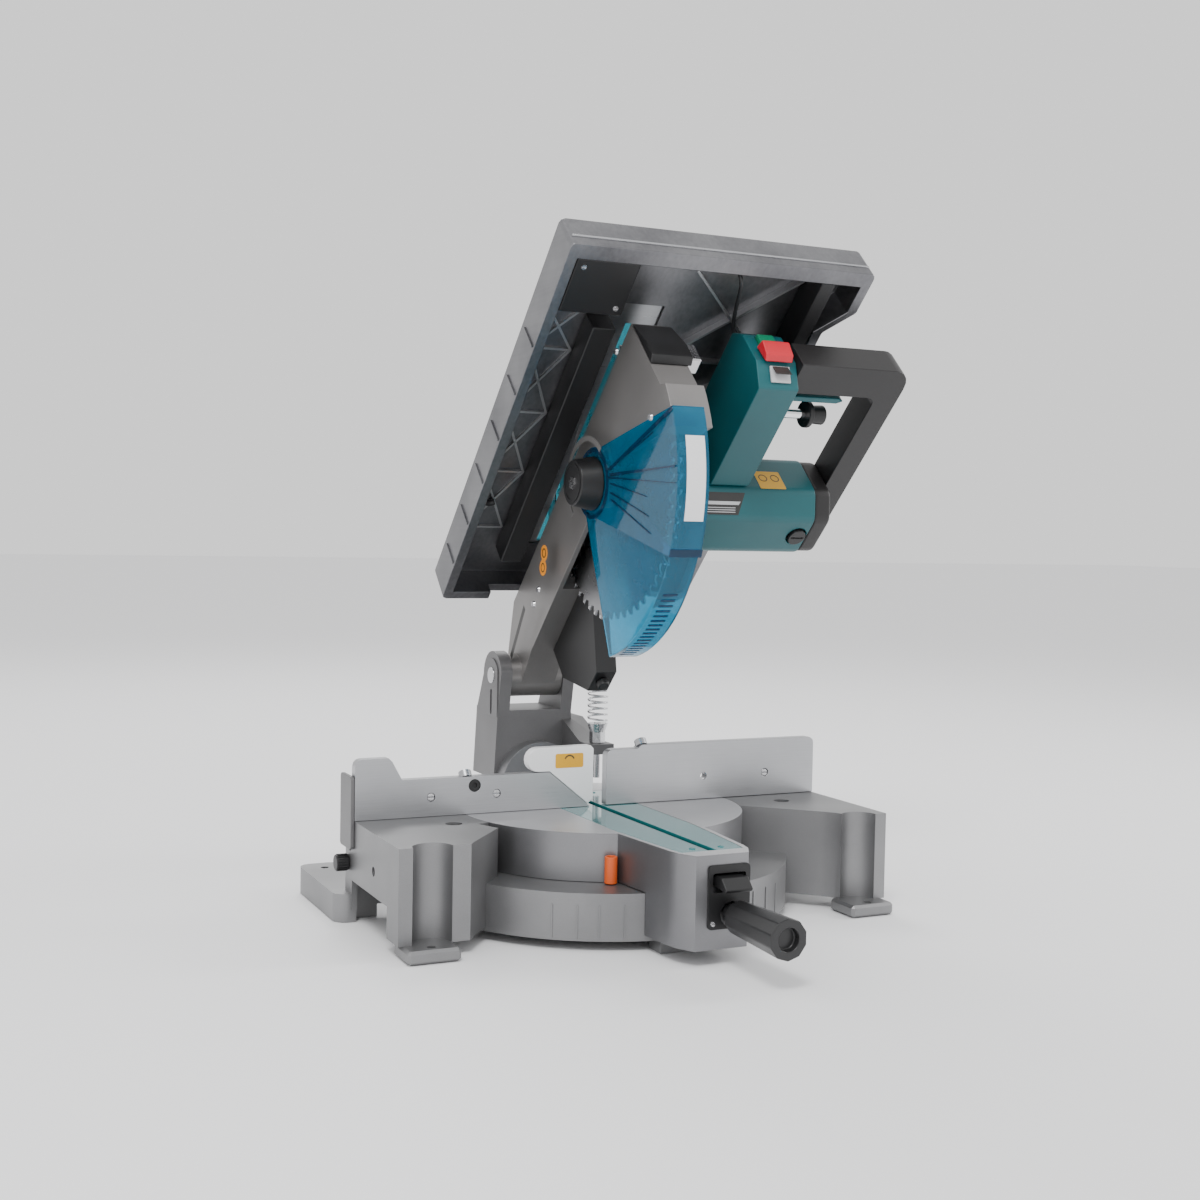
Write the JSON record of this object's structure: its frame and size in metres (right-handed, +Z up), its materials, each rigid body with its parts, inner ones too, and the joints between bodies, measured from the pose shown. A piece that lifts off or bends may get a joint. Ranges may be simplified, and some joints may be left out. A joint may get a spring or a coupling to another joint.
{
  "type": "table-top mitre saw",
  "caption": "Mitre saw with a turning slotted table, fences, tilting upright and a sprung chopping head that carries a motor, guarded blade, D handle and small rip table.",
  "frame": {"origin": "underside of the base at the mitre axis, which meets the blade plane and the fence line, on the bench surface", "axes": "+Z up, -Y to the front where the user stands, +X to the right of the user"},
  "size_m": [0.6, 0.6678, 0.7284],
  "materials": {
    "cast_silver": "satin cast",
    "machined_silver": "machined satin",
    "grey_paint": "satin paint",
    "steel": "bright",
    "chrome": "polished",
    "black_plastic": "matte",
    "brown_black": "fine grain",
    "teal": "satin",
    "clear_blue": "translucent",
    "red": "satin",
    "green": "satin",
    "orange": "satin",
    "white": "satin paint"
  },
  "bodies": {
    "base": {"base_casting": "cast_silver", "left_fence": "machined_silver", "right_fence": "machined_silver", "fence_socket_bolt": "black_plastic", "fence_screw_a": "steel", "fence_screw_b": "steel", "fence_screw_c": "steel", "fence_end_plate": "grey_paint"},
    "side_screw": {"side_clamp_screw": "black_plastic"},
    "sub_fence": {"left_sub_fence": "white"},
    "turning_table": {"turntable": "machined_silver", "kerf_plate_left": "clear_blue", "kerf_plate_right": "clear_blue", "orange_peg": "orange"},
    "mitre_grip": {"mitre_lock_grip": "black_plastic"},
    "detent": {"detent_lever": "black_plastic"},
    "upright": {"tilt_arm": "grey_paint", "depth_stop_bolt": "steel", "buffer_spring": "steel", "chop_pivot_pin": "steel"},
    "bevel_lever": {"bevel_lock_lever": "black_plastic"},
    "head": {"blade_case": "grey_paint", "head_bracket": "black_plastic", "bump_stop": "black_plastic", "case_nose": "black_plastic", "case_catch": "steel", "gear_housing": "black_plastic", "motor_housing": "teal", "motor_end_cap": "brown_black", "brush_cap": "black_plastic", "main_handle": "brown_black", "switch_box": "teal", "switch_window": "steel", "switch_lead": "black_plastic", "riving_knife": "steel", "guard_hub": "black_plastic"},
    "trigger_lever": {"trigger": "teal"},
    "start": {"start_button": "green"},
    "stop": {"stop_paddle": "red"},
    "clamp": {"clamp_shaft": "chrome", "clamp_knob": "black_plastic"},
    "blade": {"saw_blade": "steel", "spindle": "steel", "outer_flange": "steel", "arbor_bolt": "steel"},
    "lower_leaf": {"guard_lower_leaf": "clear_blue"},
    "upper_leaf": {"guard_upper_leaf": "clear_blue"},
    "saw_table": {"upper_table": "machined_silver", "table_insert": "cast_silver", "throat_bar": "black_plastic", "under_table_box": "black_plastic", "rip_fence_rail": "black_plastic", "push_stick": "black_plastic", "lead_clip": "black_plastic"},
    "cover": {"blade_cover": "clear_blue"}
  },
  "joints": [
    {"name": "mitre_swing", "type": "hinge", "parent": "base", "child": "turning_table", "pos_m": [0, 0, 0.1086], "axis": [0, 0, 1], "range_deg": [-45, 52]},
    {"name": "bevel_tilt", "type": "hinge", "parent": "turning_table", "child": "upright", "pos_m": [0, 0.188, 0.1086], "axis": [0, 1, 0], "range_deg": [-45, 0]},
    {"name": "chop", "type": "hinge", "parent": "upright", "child": "head", "pos_m": [0, 0.21, 0.238], "axis": [1, 0, 0], "range_deg": [0, 45], "stiffness_Nm_per_rad": 22, "springref_deg": -137.51},
    {"name": "blade_spin", "type": "hinge", "parent": "head", "child": "blade", "pos_m": [0, -0.02122, 0.46922], "axis": [1, 0, 0], "continuous": true},
    {"name": "lower_leaf_swing", "type": "hinge", "parent": "head", "child": "lower_leaf", "pos_m": [0, -0.02122, 0.46922], "axis": [1, 0, 0], "range_deg": [-81, 0]},
    {"name": "upper_leaf_swing", "type": "hinge", "parent": "head", "child": "upper_leaf", "pos_m": [0, -0.02122, 0.46922], "axis": [1, 0, 0], "range_deg": [-52, 0]},
    {"name": "table_height", "type": "slide", "parent": "head", "child": "saw_table", "axis": [0, 0.7071, 0.7071], "range_m": [0, 0.05]},
    {"name": "cover_lift", "type": "hinge", "parent": "saw_table", "child": "cover", "pos_m": [0, 0.1948, 0.40523], "axis": [-1, 0, 0], "range_deg": [0, 25]},
    {"name": "sub_fence_swing", "type": "hinge", "parent": "base", "child": "sub_fence", "pos_m": [-0.075, 0.006, 0.1636], "axis": [0, -1, 0], "range_deg": [0, 160]},
    {"name": "mitre_grip_turn", "type": "hinge", "parent": "turning_table", "child": "mitre_grip", "pos_m": [0.01, -0.278, 0.05], "axis": [0, 1, 0], "range_deg": [0, 120]},
    {"name": "detent_press", "type": "hinge", "parent": "turning_table", "child": "detent", "pos_m": [0.007, -0.258, 0.084], "axis": [1, 0, 0], "range_deg": [0, 5], "stiffness_Nm_per_rad": 1, "springref_deg": -5.73},
    {"name": "bevel_lever_lift", "type": "hinge", "parent": "upright", "child": "bevel_lever", "pos_m": [0, 0.262, 0.1086], "axis": [0, -1, 0], "range_deg": [0, 60]},
    {"name": "trigger_pull", "type": "hinge", "parent": "head", "child": "trigger_lever", "pos_m": [0.1567, -0.10891, 0.57388], "axis": [0, -0.7071, -0.7071], "range_deg": [0, 4], "stiffness_Nm_per_rad": 1, "springref_deg": -5.73},
    {"name": "start_press", "type": "slide", "parent": "head", "child": "start", "axis": [0, 0.7071, -0.7071], "range_m": [0, 0.003], "stiffness_N_per_m": 300, "springref_m": -0.002},
    {"name": "stop_press", "type": "hinge", "parent": "head", "child": "stop", "pos_m": [0.12985, -0.13245, 0.61722], "axis": [1, 0, 0], "range_deg": [0, 3], "stiffness_Nm_per_rad": 1, "springref_deg": -5.73},
    {"name": "clamp_turn", "type": "hinge", "parent": "head", "child": "clamp", "pos_m": [0.1547, -0.09759, 0.55125], "axis": [1, 0, 0], "continuous": true},
    {"name": "side_screw_turn", "type": "hinge", "parent": "base", "child": "side_screw", "pos_m": [-0.2835, 0.022, 0.062], "axis": [1, 0, 0], "continuous": true}
  ],
  "couplings": [
    {"joint": "lower_leaf_swing", "follows": "chop", "ratio": -1.7778},
    {"joint": "upper_leaf_swing", "follows": "chop", "ratio": -1.1333}
  ]
}
